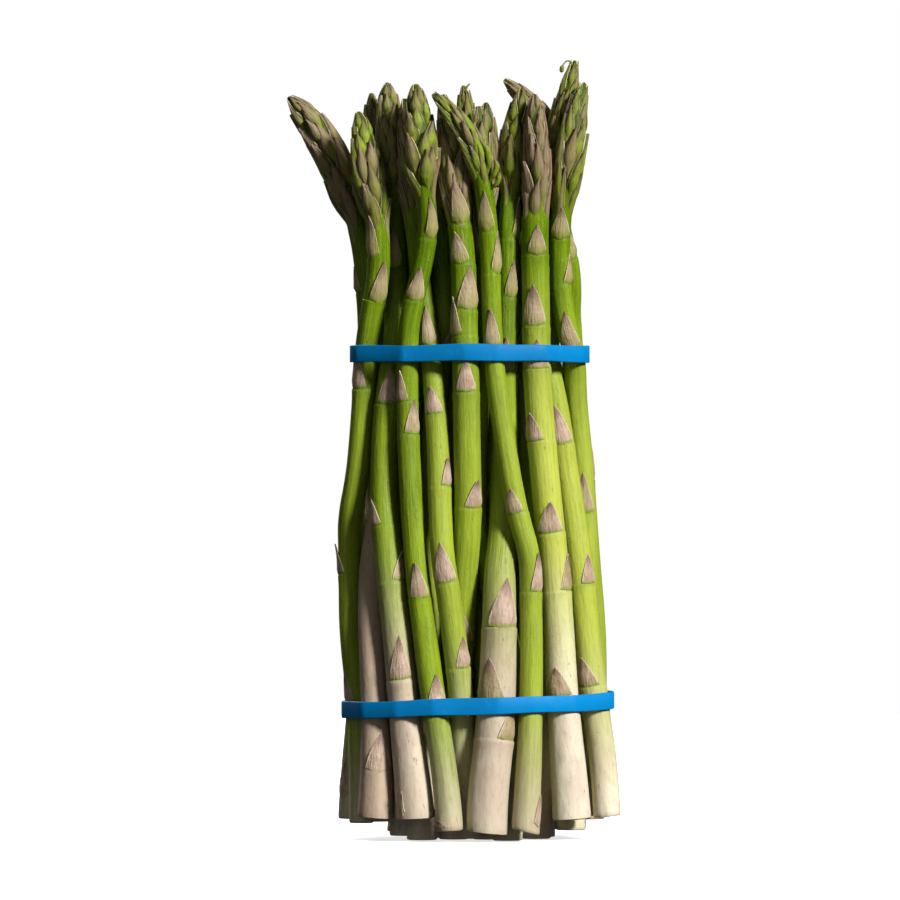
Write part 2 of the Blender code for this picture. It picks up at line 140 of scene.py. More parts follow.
# Stalks and buds that stick out of the heads: the spear's number, the stops as height, right of and behind
# the spear's line, and the radius at each stop
TWIGS = (
    (14, ((236, 0, -0.5), (238.6, -0.9, -0.5), (238.9, -2.6, -0.5), (237.6, -3.4, -0.5)),
     (0.5, 0.3, 0.22, 0.2)),
    (14, ((237.7, -3.4, -0.5), (236.9, -3.5, -0.5), (235.7, -3.4, -0.5), (235.2, -3.4, -0.5)),
     (0.2, 0.75, 0.7, 0.1)),
    (10, ((203, 1.5, -1), (207, 3.4, -2), (211, 4.2, -2.2), (214.5, 3, -2)), (0.5, 0.9, 1, 0.3)),
    (10, ((201, 1.8, -1.4), (203.5, 4, -2.6), (206, 5.4, -2.8), (208, 5.2, -2.8)), (0.4, 0.9, 1, 0.3)),
    (10, ((199, 2, -1.4), (200.5, 4.2, -2.8), (202.4, 5.2, -3), (204.2, 5.6, -3)), (0.4, 0.7, 0.8, 0.3)),
    (8, ((229, 0.3, -0.5), (230.6, 0.9, -0.5), (231.6, 2, -0.5)), (0.6, 0.4, 0.2)),
)
TWIG_STEPS = 6
TWIG_SIDES = 8
TWIG_EASE = 3
TWIG_END = 0.02

# Rubber bands
BAND_HEIGHT = 5.1
BAND_THICKNESS = 0.95
BAND_GAP = 0.35
LOWER_BAND_TILT = 2.0
BAND_ROUNDING = 48
BAND_STEPS = 360
BAND_CORNER = 0.3
BAND_CORNER_STEPS = 3
BAND_WAVE = 0.18
BAND_RIPPLE = 0.1
BAND_THINNING = 0.03

# Camera, in metres but for the sensor in millimetres
SENSOR_WIDTH = 36
CAMERA_DISTANCE = 2.8
CAMERA_REACH = 20
FRAME_HEIGHT = 0.277
AIM_X = -0.0006
AIM_Z = 0.1194

# Floor, in metres, with its glow under the bundle. The glow rises to 1 over the fade.
FLOOR_RADIUS = 1.3
FLOOR_SIDES = 96
FLOOR_DROP = 0.0002
FLOOR_FADE = (0.08, 0.5)
FLOOR_GLOW = 0.7

# Light: each lamp's name, direction, height, strength and softness, with the angles in degrees
AMBIENT = 0.06
LIGHTS = (("key", 43, 28, 5.4, 12), ("fill", -22, 12, 0.2, 50), ("back", 205, 35, 2.6, 40))

# How each shown spear looks: purple of its head, height where its foot turns green, tan of its foot, yellow
# tint, how far its scales gape, and the slope of its cut
SHOWN_LOOKS = (
    (0.75, 12, 0.2, 0.1, 0, 0),
    (0.15, 8, 0.2, 0.2, 0.5, 0),
    (0.5, 105, 0.9, 0.1, 0.2, -0.08),
    (0.5, 58, 0.5, 0.15, 0.2, 0.05),
    (0.15, 12, 0.6, 0.1, 0.7, 0.06),
    (0.5, 28, 0.3, 0.4, 0.4, 0),
    (0.7, 30, 0.3, 0.3, 0.3, 0),
    (0.3, 20, 0.3, 0.1, 0.3, 0),
    (0.15, 62, 0.6, 0.3, 0.5, -0.1),
    (0.1, 14, 0.7, 0.35, 0.8, -0.25),
    (0.85, 58, 0.1, 0.85, 0.3, 0.07),
    (0.8, 30, 0.15, 0.65, 0.4, 0.12),
    (0.1, 12, 0.2, 0.5, 0.6, 0),
    (0.05, 25, 0.3, 0.3, 0.8, 0),
)
LOOK_NAMES = ("purple", "pale", "tan", "tint", "loose", "slant")

# The ranges of the same looks, but for the slope, on a hidden spear
HIDDEN_LOOKS = ((0.1, 0.9), (5, 60), (0, 0.7), (0, 0.6), (0.1, 0.5))

# The spears that show from the front, left to right. across holds (height, place sideways) from foot to tip,
# deep holds (height, layers behind the front of the bundle), thick holds the diameters at the foot, the lower
# band, the upper band and the head, blunt makes the head's tip fuller, and bracts holds (height, direction
# faced in degrees, 0 to the front and 90 to the right).
FRONT_SPEARS = (
    dict(foot=6.0, neck=187,
         across=((0, -29.4), (20, -29.4), (41, -28.2), (75, -27.7), (110, -27), (149, -25.6), (180, -27.2),
                 (191, -29.2), (201, -33.2), (212, -37.2), (222, -43), (228, -49.7)),
         deep=((0, 1.9), (41, 1.6), (149, 1.2), (228, 0.6)), thick=(9.0, 8.0, 6.6, 10.8), blunt=5,
         bracts=((60, -60), (168, -70))),
    dict(foot=5.0, neck=187,
         across=((0, -27.4), (20, -27.9), (41, -28.5), (75, -30.8), (110, -29.5), (149, -25.8),
                 (180, -22.4), (200, -24.4), (223, -28.9)),
         deep=((0, 1.1), (20, 1.0), (41, 0.6), (75, 0.1), (110, 0), (223, 0)), thick=(7.6, 7.4, 7.2, 10.6),
         bracts=((42, -60), (81, -85), (138, -50), (165, 20), (178, -40))),
    dict(foot=6.8, neck=190,
         across=((0, -22.9), (20, -23.5), (41, -24), (75, -25.5), (110, -24.3), (149, -22.2), (185, -23.4),
                 (229, -24.9)),
         deep=((0, 0), (41, 0), (75, 0.8), (229, 1.3)), thick=(11.6, 8.6, 6.8, 8.0),
         bracts=((96, -110), (160, 0))),
    dict(foot=6.8, neck=195,
         across=((0, -12), (20, -13.2), (41, -15.4), (75, -19.2), (110, -21.5), (149, -19.1), (185, -18.8),
                 (232, -20)),
         deep=((0, 0), (75, 0), (110, 0.3), (149, 0.7), (232, 1.0)), thick=(12.0, 9.6, 7.8, 9.0), blunt=4,
         bracts=((49, 0), (79, 50), (96, -60), (133, -10), (175, 0))),
    dict(foot=3.4, neck=196,
         across=((0, -1.0), (22, -2.6), (41, -5.5), (75, -10.2), (110, -13.1), (149, -13.8), (166, -12),
                 (187, -6.3), (205, -9.0), (231, -11.4)),
         deep=((0, 0), (41, 0), (75, -0.3), (149, 0), (231, -0.1)), thick=(8.5, 7.6, 6.4, 11.0),
         bracts=((38, 20), (74, 0), (124, 35), (134, -40), (165, 0), (184, 30))),
    dict(foot=0.6, neck=190,
         across=((0, 5.2), (20, 4.4), (41, 2.8), (75, -1.1), (110, -3.5), (149, -6.8), (185, -11.4),
                 (227, -15)),
         deep=((0, 1.1), (41, 0.6), (75, 0.1), (149, 0.3), (185, 1.1), (227, 1.2)),
         thick=(8.6, 7.8, 6.4, 7.6), bracts=((53, 40), (79, 0), (108, 50), (130, -15), (151, 0))),
    dict(foot=0.0, neck=188,
         across=((0, 0.5), (20, 1.5), (41, 2.2), (75, 3.1), (110, 4), (149, 4.2), (185, 2.8), (228, -3)),
         deep=((0, 2.2), (75, 0.9), (110, 0.5), (149, 0.3), (228, 0.6)), thick=(9.4, 8.4, 8.0, 9.0),
         bracts=((61, 0), (102, 35), (137, 0), (154, -60), (162, 25), (176, -15), (188, 10))),
    dict(foot=0.0, neck=190,
         across=((0, 9.8), (75, 9.5), (110, 10.8), (149, 10), (185, 8), (231, 3.2)),
         deep=((0, 1.4), (110, 1.3), (231, 1.6)), thick=(8.6, 8.2, 7.0, 8.2), bracts=((103, 30), (165, 0))),
    dict(foot=2.5, neck=194,
         across=((0, 7.6), (20, 10.8), (41, 13.3), (75, 15.1), (110, 15.7), (149, 16.3), (185, 17.5),
                 (205, 17.0), (230, 21.2)),
         deep=((0, 0), (41, 0), (75, 0.5), (110, 1.0), (230, 0.4)), thick=(12.4, 11.6, 6.6, 9.2),
         bracts=((31, 50), (43, -30), (65, 20), (143, 0), (166, 20), (184, 60))),
    dict(foot=3.0, neck=200,
         across=((0, 21.8), (20, 23.1), (41, 23.8), (75, 22.9), (110, 17.8), (149, 12), (185, 11.3),
                 (200, 9.6), (209, 9.3), (217, 6), (223, 1), (228, -4.9)),
         deep=((0, 0), (75, -0.2), (110, -0.4), (149, -0.4), (228, -0.6)), thick=(8.6, 7.0, 6.2, 7.4),
         bracts=((76, 50), (100, -20), (151, 0), (173, 50), (186, -10))),
    dict(foot=6.5, neck=190,
         across=((0, 37.6), (20, 35.6), (41, 33.6), (75, 31.8), (110, 28.2), (149, 25.4), (185, 26),
                 (205, 25.5), (228, 24.9)),
         deep=((0, 0), (110, -0.1), (149, 0), (228, -0.1)), thick=(11.6, 9.7, 8.7, 8.6),
         bracts=((44, -20), (76, 60), (94, 0), (122, -40), (144, 0), (157, -10), (179, 10))),
    dict(foot=7.0, neck=197,
         across=((0, 49.8), (20, 47.4), (41, 44), (75, 40.7), (110, 35), (130, 32.2), (149, 30.3),
                 (185, 30.5), (205, 31), (217, 30.2), (223.4, 27.7), (228.6, 24), (233, 17.5)),
         deep=((0, 0), (75, 0.1), (110, 0.4), (130, 0.7), (149, 1.2), (185, 1.75), (210, 1.9), (233, 2.0)),
         thick=(8.6, 8.6, 7.2, 7.8), blunt=4, bracts=((47, -30), (78, 40), (121, 0))),
    dict(foot=2.8, neck=190,
         across=((0, 36.5), (41, 39), (75, 41), (110, 40.2), (130, 38.3), (149, 34.9), (185, 33.2),
                 (201, 34.2), (212, 35.4), (222, 36.6), (232, 40)),
         deep=((0, 1.3), (75, 1.2), (110, 0.9), (130, 0.5), (149, 0.3), (190, 0), (232, 0)),
         thick=(9.4, 7.6, 6.6, 9.2), bracts=((100, 0), (151, 0), (170, 70), (184, 0))),
    dict(foot=7.0, neck=196,
         across=((0, 43), (41, 43), (75, 42), (110, 40), (130, 38), (149, 35.6), (185, 32), (205, 30.5),
                 (217, 31.5), (227, 35), (239, 37.5)),
         deep=((0, 1.6), (110, 1.8), (149, 1.35), (185, 0.85), (239, 0.55)), thick=(8.2, 7.6, 6.8, 8.6),
         bracts=((110, 80), (178, 20))),
)

# The hidden spears stand in rings: how many, how far out, and the first and last direction in degrees, where
# 90 is to the back
HIDDEN_RINGS = ((10, 1.0, 10, 164), (7, 0.6, -20, 285), (3, 0.2, 90, 330))
HIDDEN_SEED = 27
STANDING_WIDTH = 24
FOOT_RISE = 0.3


def smooth_values(knots, heights):
    """Values on a smooth curve through knots of (height, value), which runs on straight past its top."""
    x = np.array([k[0] for k in knots], dtype=float)
    y = np.array([k[1] for k in knots], dtype=float)
    slope = np.gradient(y, x)
    past_top = np.clip(heights - x[-1], 0, None) * slope[-1]
    heights = np.clip(heights, x[0], x[-1])
    i = np.clip(np.searchsorted(x, heights, side="right") - 1, 0, len(x) - 2)
    width = x[i + 1] - x[i]
    t = (heights - x[i]) / width
    rise = y[i + 1] - y[i]
    bend = t * (1 - t) * ((1 - t) * (slope[i] * width - rise) - t * (slope[i + 1] * width - rise))
    return y[i] + t * rise + bend + past_top


def straight_values(knots, heights):
    """Values on straight runs between knots of (height, value)."""
    return np.interp(heights, [k[0] for k in knots], [k[1] for k in knots])


def head_outline(t, blunt):
    """A head's radius, as a share of its largest, from its base at 0 to its tip at 1."""
    past_shoulder = np.clip((t - 0.3) / 0.7, 0, 1)
    return 1 - 0.72 * past_shoulder**blunt


def spear_radius(spear, heights):
    """The outer radius of a spear at the given heights, with its head."""
    foot, low, high, head = (d / 2 for d in spear["thick"])
    tip = spear["tip"]
    stem = np.interp(heights, (spear["foot"], BAND_LOW, BAND_HIGH, spear["neck"]),
                     (foot, low, high, high * 0.94))
    t = np.clip((heights - spear["neck"]) / (tip - spear["neck"]), 0, 1)
    swell = np.clip(t / 0.3, 0, 1)
    swell = swell * swell * (3 - 2 * swell)
    return (stem + (head - stem) * swell) * head_outline(t, spear.get("blunt", 2.5))


def hidden_spears(rng):
    """The spears inside and at the back of the bundle, in rings, each with its own size and lean."""
    spears = []
    for count, out, first, last in HIDDEN_RINGS:
        for k in range(count):
            turn = math.radians(first + (last - first) * k / (count - 1))
            twist = math.radians(rng.uniform(-9, 9))
            foot_size = rng.uniform(8.0, 10.2)
            neck = rng.uniform(182, 194)
            beside = max(0.0, abs(math.cos(turn)) * out * HALF_WIDTH[0][1] - STANDING_WIDTH)
            spears.append(dict(
                foot=beside * FOOT_RISE * rng.uniform(0.8, 1.2),
                neck=neck,
                tip=neck + rng.uniform(31, 37),
                ring=(out, turn - twist, turn + twist),
                thick=(foot_size, foot_size * 0.86, rng.uniform(6.8, 8.4), rng.uniform(8.0, 9.6)),
                bracts=hidden_bracts(rng, neck, rng.uniform(25, 50) if out == 1 else BAND_HIGH),
            ))
    return spears


def hidden_bracts(rng, neck, height):
    """Bracts up a hidden spear from a height, a golden turn apart and closer together towards the head."""
    bracts = []
    facing = rng.uniform(0, 360)
    while height < neck - 8:
        bracts.append((height, facing))
        facing += GOLDEN_TURN + rng.uniform(-15, 15)
        height += rng.uniform(0.8, 1.2) * (52 - 0.15 * height)
    return bracts


def wanted_places(spear, levels):
    """Where a spear would stand at each level if it had the bundle to itself."""
    half = straight_values(HALF_WIDTH, levels)
    middle = straight_values(MIDDLE, levels)
    radius = spear_radius(spear, levels)
    if "ring" in spear:
        out, low_turn, high_turn = spear["ring"]
        turn = low_turn + (high_turn - low_turn) * levels / TOP
        wide = (half - radius) * out
        deep = (half * DEPTH_TO_WIDTH - radius) * out
        return np.column_stack((middle + wide * np.cos(turn), deep * np.sin(turn)))
    across = smooth_values(spear["across"], levels)
    share = np.clip((across - middle) / half, -0.95, 0.95)
    front = -(half * DEPTH_TO_WIDTH * np.sqrt(1 - share**2) - radius)
    return np.column_stack((across, front + LAYER_DEPTH * straight_values(spear["deep"], levels)))


def settle(spears, levels):
    """Push the spears apart until none cuts another, and keep the front ones where they show."""
    wanted = np.array([wanted_places(s, levels) for s in spears])
    radius = np.array([spear_radius(s, levels) for s in spears])
    neck = np.array([s["neck"] for s in spears])[:, None]
    tip = np.array([s["tip"] for s in spears])[:, None]
    margin = np.where(levels[None, :] > neck, HEAD_MARGIN, STEM_MARGIN)
    reach = np.where(levels[None, :] > tip + LEVEL_STEP, -100.0, radius + margin)
    shown = np.array(["ring" not in s for s in spears])
    hold = np.zeros((len(spears), 1, 2))
    hold[shown] = (0.5, 0.03)
    hold[~shown] = (0.015, 0.015)
    give = np.ones((len(spears), 1, 2))
    give[shown] = (0.3, 1.0)
    ease = np.where(shown, SHOWN_EASE, HIDDEN_EASE)[:, None, None]
    middle = np.column_stack((straight_values(MIDDLE, levels), np.zeros(len(levels))))
    half = straight_values(HALF_WIDTH, levels)
    room = np.stack((half[None, :] - radius, half[None, :] * DEPTH_TO_WIDTH - radius), axis=2)
    room[shown, :, 0] += SHOWN_ROOM
    kept_in = (levels[None, :] < neck) & np.ones_like(radius, dtype=bool)
    place = wanted.copy()
    for turn in range(SETTLING_ROUNDS):
        closing = turn > TIGHTENING_ROUNDS
        last = turn > SETTLING_ROUNDS - PUSHING_ROUNDS
        steps = np.gradient(place, levels, axis=1)
        lean = steps / np.sqrt(1 + (steps**2).sum(axis=2, keepdims=True))
        apart = place[:, None] - place[None, :]
        distance = np.sqrt((apart**2).sum(axis=3)) + 1e-6
        toward = apart / distance[..., None]
        near = 1 - (lean[:, None] * toward).sum(axis=3) ** 2
        far = 1 - (lean[None, :] * toward).sum(axis=3) ** 2
        need = reach[:, None] / np.sqrt(near) + reach[None, :] / np.sqrt(far)
        overlap = np.clip(need - distance, 0, None)
        overlap[np.arange(len(spears)), np.arange(len(spears))] = 0
        push = (toward * (overlap * 0.5)[..., None]).sum(axis=1)
        place += push * (0.9 if last else 0.7 * give)
        if not last:
            place += (wanted - place) * hold * (0.1 if closing else 1)
            share = (place - middle) / room
            past = np.sqrt((share**2).sum(axis=2, keepdims=True))
            inward = (place - middle) * (1 / np.maximum(past, 1) - 1)
            place += inward * give * 0.5 * kept_in[..., None]
        smooth = ease * (0.1 if last else 0.3 if closing else 1)
        between = (place[:, :-2] + place[:, 2:]) / 2
        place[:, 1:-1] += (between - place[:, 1:-1]) * smooth
        place[:, 0] += (2 * place[:, 1] - place[:, 2] - place[:, 0]) * smooth[:, 0]
    return place


def srgb(red, green, blue):
    """A colour given in 0 to 255 as on a screen, in the linear values that a shader takes."""
    def linear(part):
        part = part / 255
        return part / 12.92 if part <= 0.04045 else ((part + 0.055) / 1.055) ** 2.4
    return (linear(red), linear(green), linear(blue), 1)


GREEN_DEEP = srgb(62, 94, 0)
GREEN_FRESH = srgb(112, 140, 0)
GREEN_LOW = srgb(130, 152, 8)
GREEN_TOP = srgb(84, 108, 0)
GREEN_YELLOW = srgb(190, 194, 84)
PALE_CREAM = srgb(230, 220, 196)
PALE_WARM = srgb(210, 190, 174)
TAN = srgb(170, 146, 128)
STREAK_LIGHT = srgb(160, 190, 42)
STREAK_DARK = srgb(40, 56, 0)
SPECK = srgb(170, 194, 70)
NODE_LINE = srgb(70, 96, 4)
# Painted shade: a darker olive for the head's core, which shows in the gaps between the scales
HEAD_GAP_SHADE = srgb(68, 80, 18)
CUT_FACE = srgb(206, 196, 150)
BRACT_TAUPE = srgb(168, 142, 116)
BRACT_PINK = srgb(192, 166, 148)
BRACT_HIGH = srgb(160, 142, 96)
BRACT_GREENISH = srgb(136, 134, 60)
BRACT_TIP = srgb(126, 98, 88)
BRACT_EDGE = srgb(216, 198, 168)
BRACT_LEAF = srgb(158, 160, 62)
BRACT_BASE = srgb(124, 146, 30)
SCALE_GREEN = srgb(132, 156, 18)
SCALE_OLIVE = srgb(128, 136, 38)
SCALE_PURPLE = srgb(148, 120, 102)
SCALE_TIP_COLOR = srgb(92, 78, 48)
SCALE_EDGE = srgb(206, 200, 124)
DRY_EDGE = srgb(190, 168, 140)
# Painted shade laid along the sides of the head scales, where their neighbours overlap them
SCUFF = srgb(136, 110, 86)
CREASE_SHADE = srgb(34, 32, 8)
BLUE_DEEP = srgb(0, 112, 170)
BLUE_BRIGHT = srgb(0, 130, 196)
BLUE_DUST = srgb(10, 160, 222)
FLOOR_COLOR = srgb(244, 244, 244)
WHITE = (1, 1, 1, 1)


class Path:
    """A spear's centre line, with places and directions by the length along it, for whole arrays at once."""

    def __init__(self, spear, levels, place):
        heights = np.append(np.arange(spear["foot"], spear["tip"], PATH_STEP), spear["tip"])
        x, y = (smooth_values(list(zip(levels, place[:, k])), heights) for k in (0, 1))
        self.points = np.column_stack((x, y, heights))
        steps = np.linalg.norm(np.diff(self.points, axis=0), axis=1)
        self.along = np.concatenate(([0.0], np.cumsum(steps)))
        self.radii = spear_radius(spear, heights)
        self.length = self.along[-1]
        self.neck = self.along_at(spear["neck"])

    def along_at(self, height):
        return float(np.interp(height, self.points[:, 2], self.along))

    def at(self, along):
        return np.stack([np.interp(along, self.along, self.points[:, k]) for k in range(3)], axis=-1)

    def radius(self, along):
        return np.interp(along, self.along, self.radii)

    def axes(self, along):
        """The directions to the front and to the right, square to the spear, at each length along it."""
        tangent = unit(self.at(along + SLOPE_REACH) - self.at(along - SLOPE_REACH))
        front = np.zeros_like(tangent)
        front[..., 1] = -1
        front = unit(front - (front * tangent).sum(axis=-1, keepdims=True) * tangent)
        return front, np.cross(tangent, front)

    def spot(self, along, facing, out):
        """Places at a length along the spear, a direction in degrees and a distance from its centre line."""
        front, right = self.axes(along)
        angle = np.radians(facing)[..., None]
        return self.at(along) + (front * np.cos(angle) + right * np.sin(angle)) * out[..., None]


def unit(vectors):
    return vectors / np.maximum(np.linalg.norm(vectors, axis=-1, keepdims=True), 1e-9)


def plan_spears():
    """Every spear of the bundle with its settled path, centred on the origin."""
    rng = random.Random(HIDDEN_SEED)
    spears = [dict(s, tip=s["across"][-1][0]) for s in FRONT_SPEARS] + hidden_spears(rng)
    levels = np.arange(0.0, TOP + 2 * LEVEL_STEP, LEVEL_STEP)
    places = settle(spears, levels)
    for spear, place in zip(spears, places):
        spear["path"] = Path(spear, levels, place)
    sides = [np.concatenate([s["path"].points[:, k] + side * s["path"].radii
                             for s in spears for side in (-1, 1)]) for k in (0, 1)]
    centre = np.array([(side.min() + side.max()) / 2 for side in sides] + [0.0])
    for spear in spears:
        spear["path"].points = spear["path"].points - centre
    return spears


class Skin:
    """The points, faces and point values of one spear's mesh as they are gathered."""

    # Height in millimetres, kind from bract to head scale, rise up a scale, edge from a scale's middle to its
    # side or at a node's line, share of the way up the head, cut end, and each scale's own shade
    VALUES = ("height", "kind", "rise", "edge", "head", "cut", "shade")

    def __init__(self):
        self.points = []
        self.faces = []
        self.looks = []
        self.flow = []
        self.values = {name: [] for name in self.VALUES}
        self.count = 0

    def add(self, points, faces, look, flow, **values):
        """Takes points, faces as indices among them, the material's place, straightened places and values."""
        self.points.append(points)
        self.faces.append(faces + self.count)
        self.looks.append(np.full(len(faces), look))
        self.flow.append(flow)
        values["height"] = points[:, 2]
        for name in self.VALUES:
            given = values.get(name, 0.0)
            self.values[name].append(np.broadcast_to(np.asarray(given, dtype=float), (len(points),)))
        self.count += len(points)

    def mesh(self, name, spear, looks):
        points = np.concatenate(self.points) * MM
        faces = np.concatenate(self.faces)
        made = bpy.data.meshes.new(name)
        made.vertices.add(len(points))
        made.vertices.foreach_set("co", points.ravel())
        made.loops.add(faces.size)
        made.loops.foreach_set("vertex_index", faces.ravel())
        made.polygons.add(len(faces))
        made.polygons.foreach_set("loop_start", np.arange(0, faces.size, 4))
        made.polygons.foreach_set("material_index", np.concatenate(self.looks))
        for look in looks:
            made.materials.append(look)
        flow = made.attributes.new("flow", "FLOAT_VECTOR", "POINT")
        flow.data.foreach_set("vector", np.concatenate(self.flow).ravel())
        for value in self.VALUES:
            layer = made.attributes.new(value, "FLOAT", "POINT")
            layer.data.foreach_set("value", np.concatenate(self.values[value]))
        for value in ("purple", "pale", "tan", "tint"):
            layer = made.attributes.new(value, "FLOAT", "POINT")
            layer.data.foreach_set("value", np.full(len(points), spear[value]))
        made.update(calc_edges=True)
        made.validate()
        made.shade_smooth()
        made.set_sharp_from_angle(angle=math.radians(SMOOTH_ANGLE))
        return made


def grid_faces(rows, columns, closed):
    """Four-cornered faces between the rows of a grid of points, joined round if closed."""
    across = columns if closed else columns - 1
    row, column = np.meshgrid(np.arange(rows - 1), np.arange(across), indexing="ij")
    after = (column + 1) % columns
    quads = np.stack((row * columns + column, row * columns + after, (row + 1) * columns + after,
                      (row + 1) * columns + column), axis=-1)
    return quads.reshape(-1, 4)


def closing(path, along):
    """1 along the head, falling to 0 in a round end at its tip."""
    share = (along - path.neck) / (path.length - path.neck)
    return np.sqrt(np.clip(1 - (np.clip(share - TIP_START, 0, None) / (TIP_END - TIP_START)) ** 2, 0, 1))


def add_stem(skin, spear):
    """The stem from its cut end to the tip of the head's core, swollen a little below each bract."""
    path = spear["path"]
    sides, spacing = spear["fine"]
    nodes = np.array([path.along_at(height) for height, _ in spear["bracts"]])
    rings = nodes if spear["inner"] else (nodes[:, None] + np.array(NODE_RINGS)).ravel()
    rings = rings[(rings > STEM_START) & (rings < path.length)]
    body = np.union1d(np.arange(STEM_START, path.length, spacing), rings)
    cut_along, cut_share = zip(*CUT_RINGS)
    along = np.concatenate((cut_along, body, [path.length]))
    share = np.concatenate((cut_share, np.ones(len(body) + 1)))
    in_head = np.clip((along - path.neck) / NECK_LENGTH, 0, 1)
    core = np.interp(along, (path.neck, path.length), (HEAD_CORE, TIP_CORE))
    radius = path.radius(along) * share * (1 - (1 - core) * in_head)
    radius = radius * np.maximum(closing(path, along), 0.02)
    facing = np.arange(sides) * 360 / sides
    along_grid, facing_grid = np.meshgrid(along, facing, indexing="ij")
    turn = np.radians(facing_grid)
    swell = np.ones(turn.shape)
    notch = np.zeros(turn.shape)
    for node, (_, bract_facing) in zip(nodes, spear["bracts"]):
        above = along_grid - node
        beside = 0.5 + 0.5 * np.cos(turn - math.radians(bract_facing))
        bulge = NODE_BULGE * np.exp(-(np.clip(-above, 0, None) / NODE_BULGE_LENGTH) ** 2) * (above < 0.1)
        dip = NODE_DIP * np.exp(-(above / NODE_DIP_LENGTH) ** 2) * (above > 0.1)
        swell = swell + (bulge - dip) * (0.3 + 0.7 * beside)
        notch = np.maximum(notch, np.exp(-(above / NODE_LINE_LENGTH) ** 2) * beside**3)
    ripple = np.cos(turn * RIBS[0] + along_grid * 0.02) + 0.5 * np.cos(turn * RIBS[1] - along_grid * 0.03)
    flat = 1 + STEM_FLATNESS * np.cos(2 * turn + spear["seed"] + along_grid * 0.03)
    out = radius[:, None] * swell * (1 + spear["ribs"] * ripple) * flat
    points = path.spot(along_grid, facing_grid, out)
    slant = spear["slant"] * (points[..., 0] - path.points[0, 0])
    level = path.points[0, 2] + along_grid + slant
    eased = points[..., 2] + slant * np.clip(1 - along_grid / SLANT_EASE, 0, 1)
    points[..., 2] = np.where(along_grid < STEM_START, level, eased)
    flow = np.stack((out * np.cos(turn), out * np.sin(turn), along_grid), axis=-1) + spear["seed"] * 10
    rows = len(along)
    cut = np.where(np.arange(rows) < len(CUT_RINGS) - 1, 1.0, 0.0).repeat(sides)
    head = np.clip((along_grid - path.neck) / (path.length - path.neck), 0, 1)
    skin.add(points.reshape(-1, 3), grid_faces(rows, sides, True), 0, flow.reshape(-1, 3), cut=cut,
             head=head.ravel(), edge=notch.ravel())


def add_scale(skin, spear, start, facing, long, spread, outline, shape, kind, shade, skew, base):
    """One bract or head scale: a thin pointed shell that lies on the spear.

    outline gives its half width at each share of its length, and shape its distance from the centre line.
    kind runs from a stem bract at 0 to a head scale at 1, skew turns the tip aside, and base draws the lower
    corners up.
    """
    path = spear["path"]
    across, up = spear["grid"]
    u = np.linspace(-1, 1, across)
    v = np.linspace(0, 1, up) ** 0.85
    v_grid, u_grid = np.meshgrid(v, u, indexing="ij")
    along = start + long * (v_grid + base * np.abs(u_grid) * (1 - v_grid))
    turn = facing + spread * u_grid * outline(v_grid) + skew * v_grid**2
    outer = shape(v_grid, u_grid, along)
    thick = np.where(v_grid < THICK_ROOT, ROOT_THICKNESS, SCALE_THICKNESS) - EDGE_THINNING * np.abs(u_grid)
    top = path.spot(along, turn, outer)
    under = path.spot(along, turn, np.maximum(outer - thick, 0.05))
    points = np.concatenate((top.reshape(-1, 3), under.reshape(-1, 3)))
    count = across * up
    front = grid_faces(up, across, False)
    back = front[:, ::-1] + count
    index = np.arange(count).reshape(up, across)
    rim = np.concatenate((index[0, :], index[1:, -1], index[-1, -2::-1], index[-2:0:-1, 0]))
    after = np.roll(rim, -1)
    sides = np.stack((after, rim, rim + count, after + count), axis=-1)
    faces = np.concatenate((front, back, sides))
    flow = np.stack((u_grid * 3 * outline(v_grid), v_grid * 0 + facing, along), axis=-1).reshape(-1, 3)
    flow = np.concatenate((flow, flow)) + spear["seed"] * 10
    head = np.clip((start - path.neck) / (path.length - path.neck), 0, 1)
    skin.add(points, faces, 1, flow, kind=kind, head=head, shade=shade, rise=np.tile(v_grid.ravel(), 2),
             edge=np.tile(np.abs(u_grid).ravel(), 2))


def bract_outline(v):
    """Broad at the base, with nearly straight sides to a sharp tip."""
    return np.maximum((1 - v) ** 0.88 * (1 + 0.22 * v), 0.015)


def scale_outline(v):
    """Widest a third of the way up, then tapering to a point."""
    low = 0.5 + 0.5 * np.sin(np.clip(v / 0.35, 0, 1) * math.pi / 2)
    return low * np.maximum(1 - np.clip((v - 0.25) / 0.75, 0, 1) ** 1.45, 0.03)


def add_bracts(skin, spear, rng):
    """The bracts that stand apart along the stem."""
    path = spear["path"]
    for height, facing in spear["bracts"]:
        start = path.along_at(height)
        radius = path.radius(start)
        high = min(1.0, max(0.0, (height - LEAFY_HEIGHT) / LEAFY_RUN))
        lift = max(0.0, rng.gauss(0.25, 0.5))

        def shape(v, u, along):
            rise = np.clip(v / 0.12, 0, 1)
            proud = 0.1 + rise * ((0.45 + 0.45 * high) * (1 - 0.6 * v) - 0.15 * u**2)
            return path.radius(along) + proud + lift * v**3

        long = (BRACT_LENGTH + radius) * rng.uniform(*BRACT_STRETCH) * (1 + 0.2 * high)
        spread = rng.uniform(*BRACT_SPREAD) * (1 - 0.1 * high)
        add_scale(skin, spear, start, facing, long, spread, bract_outline, shape, 0.35 * high, rng.random(),
                  rng.uniform(*SKEW), 0.05 + 0.07 * high)


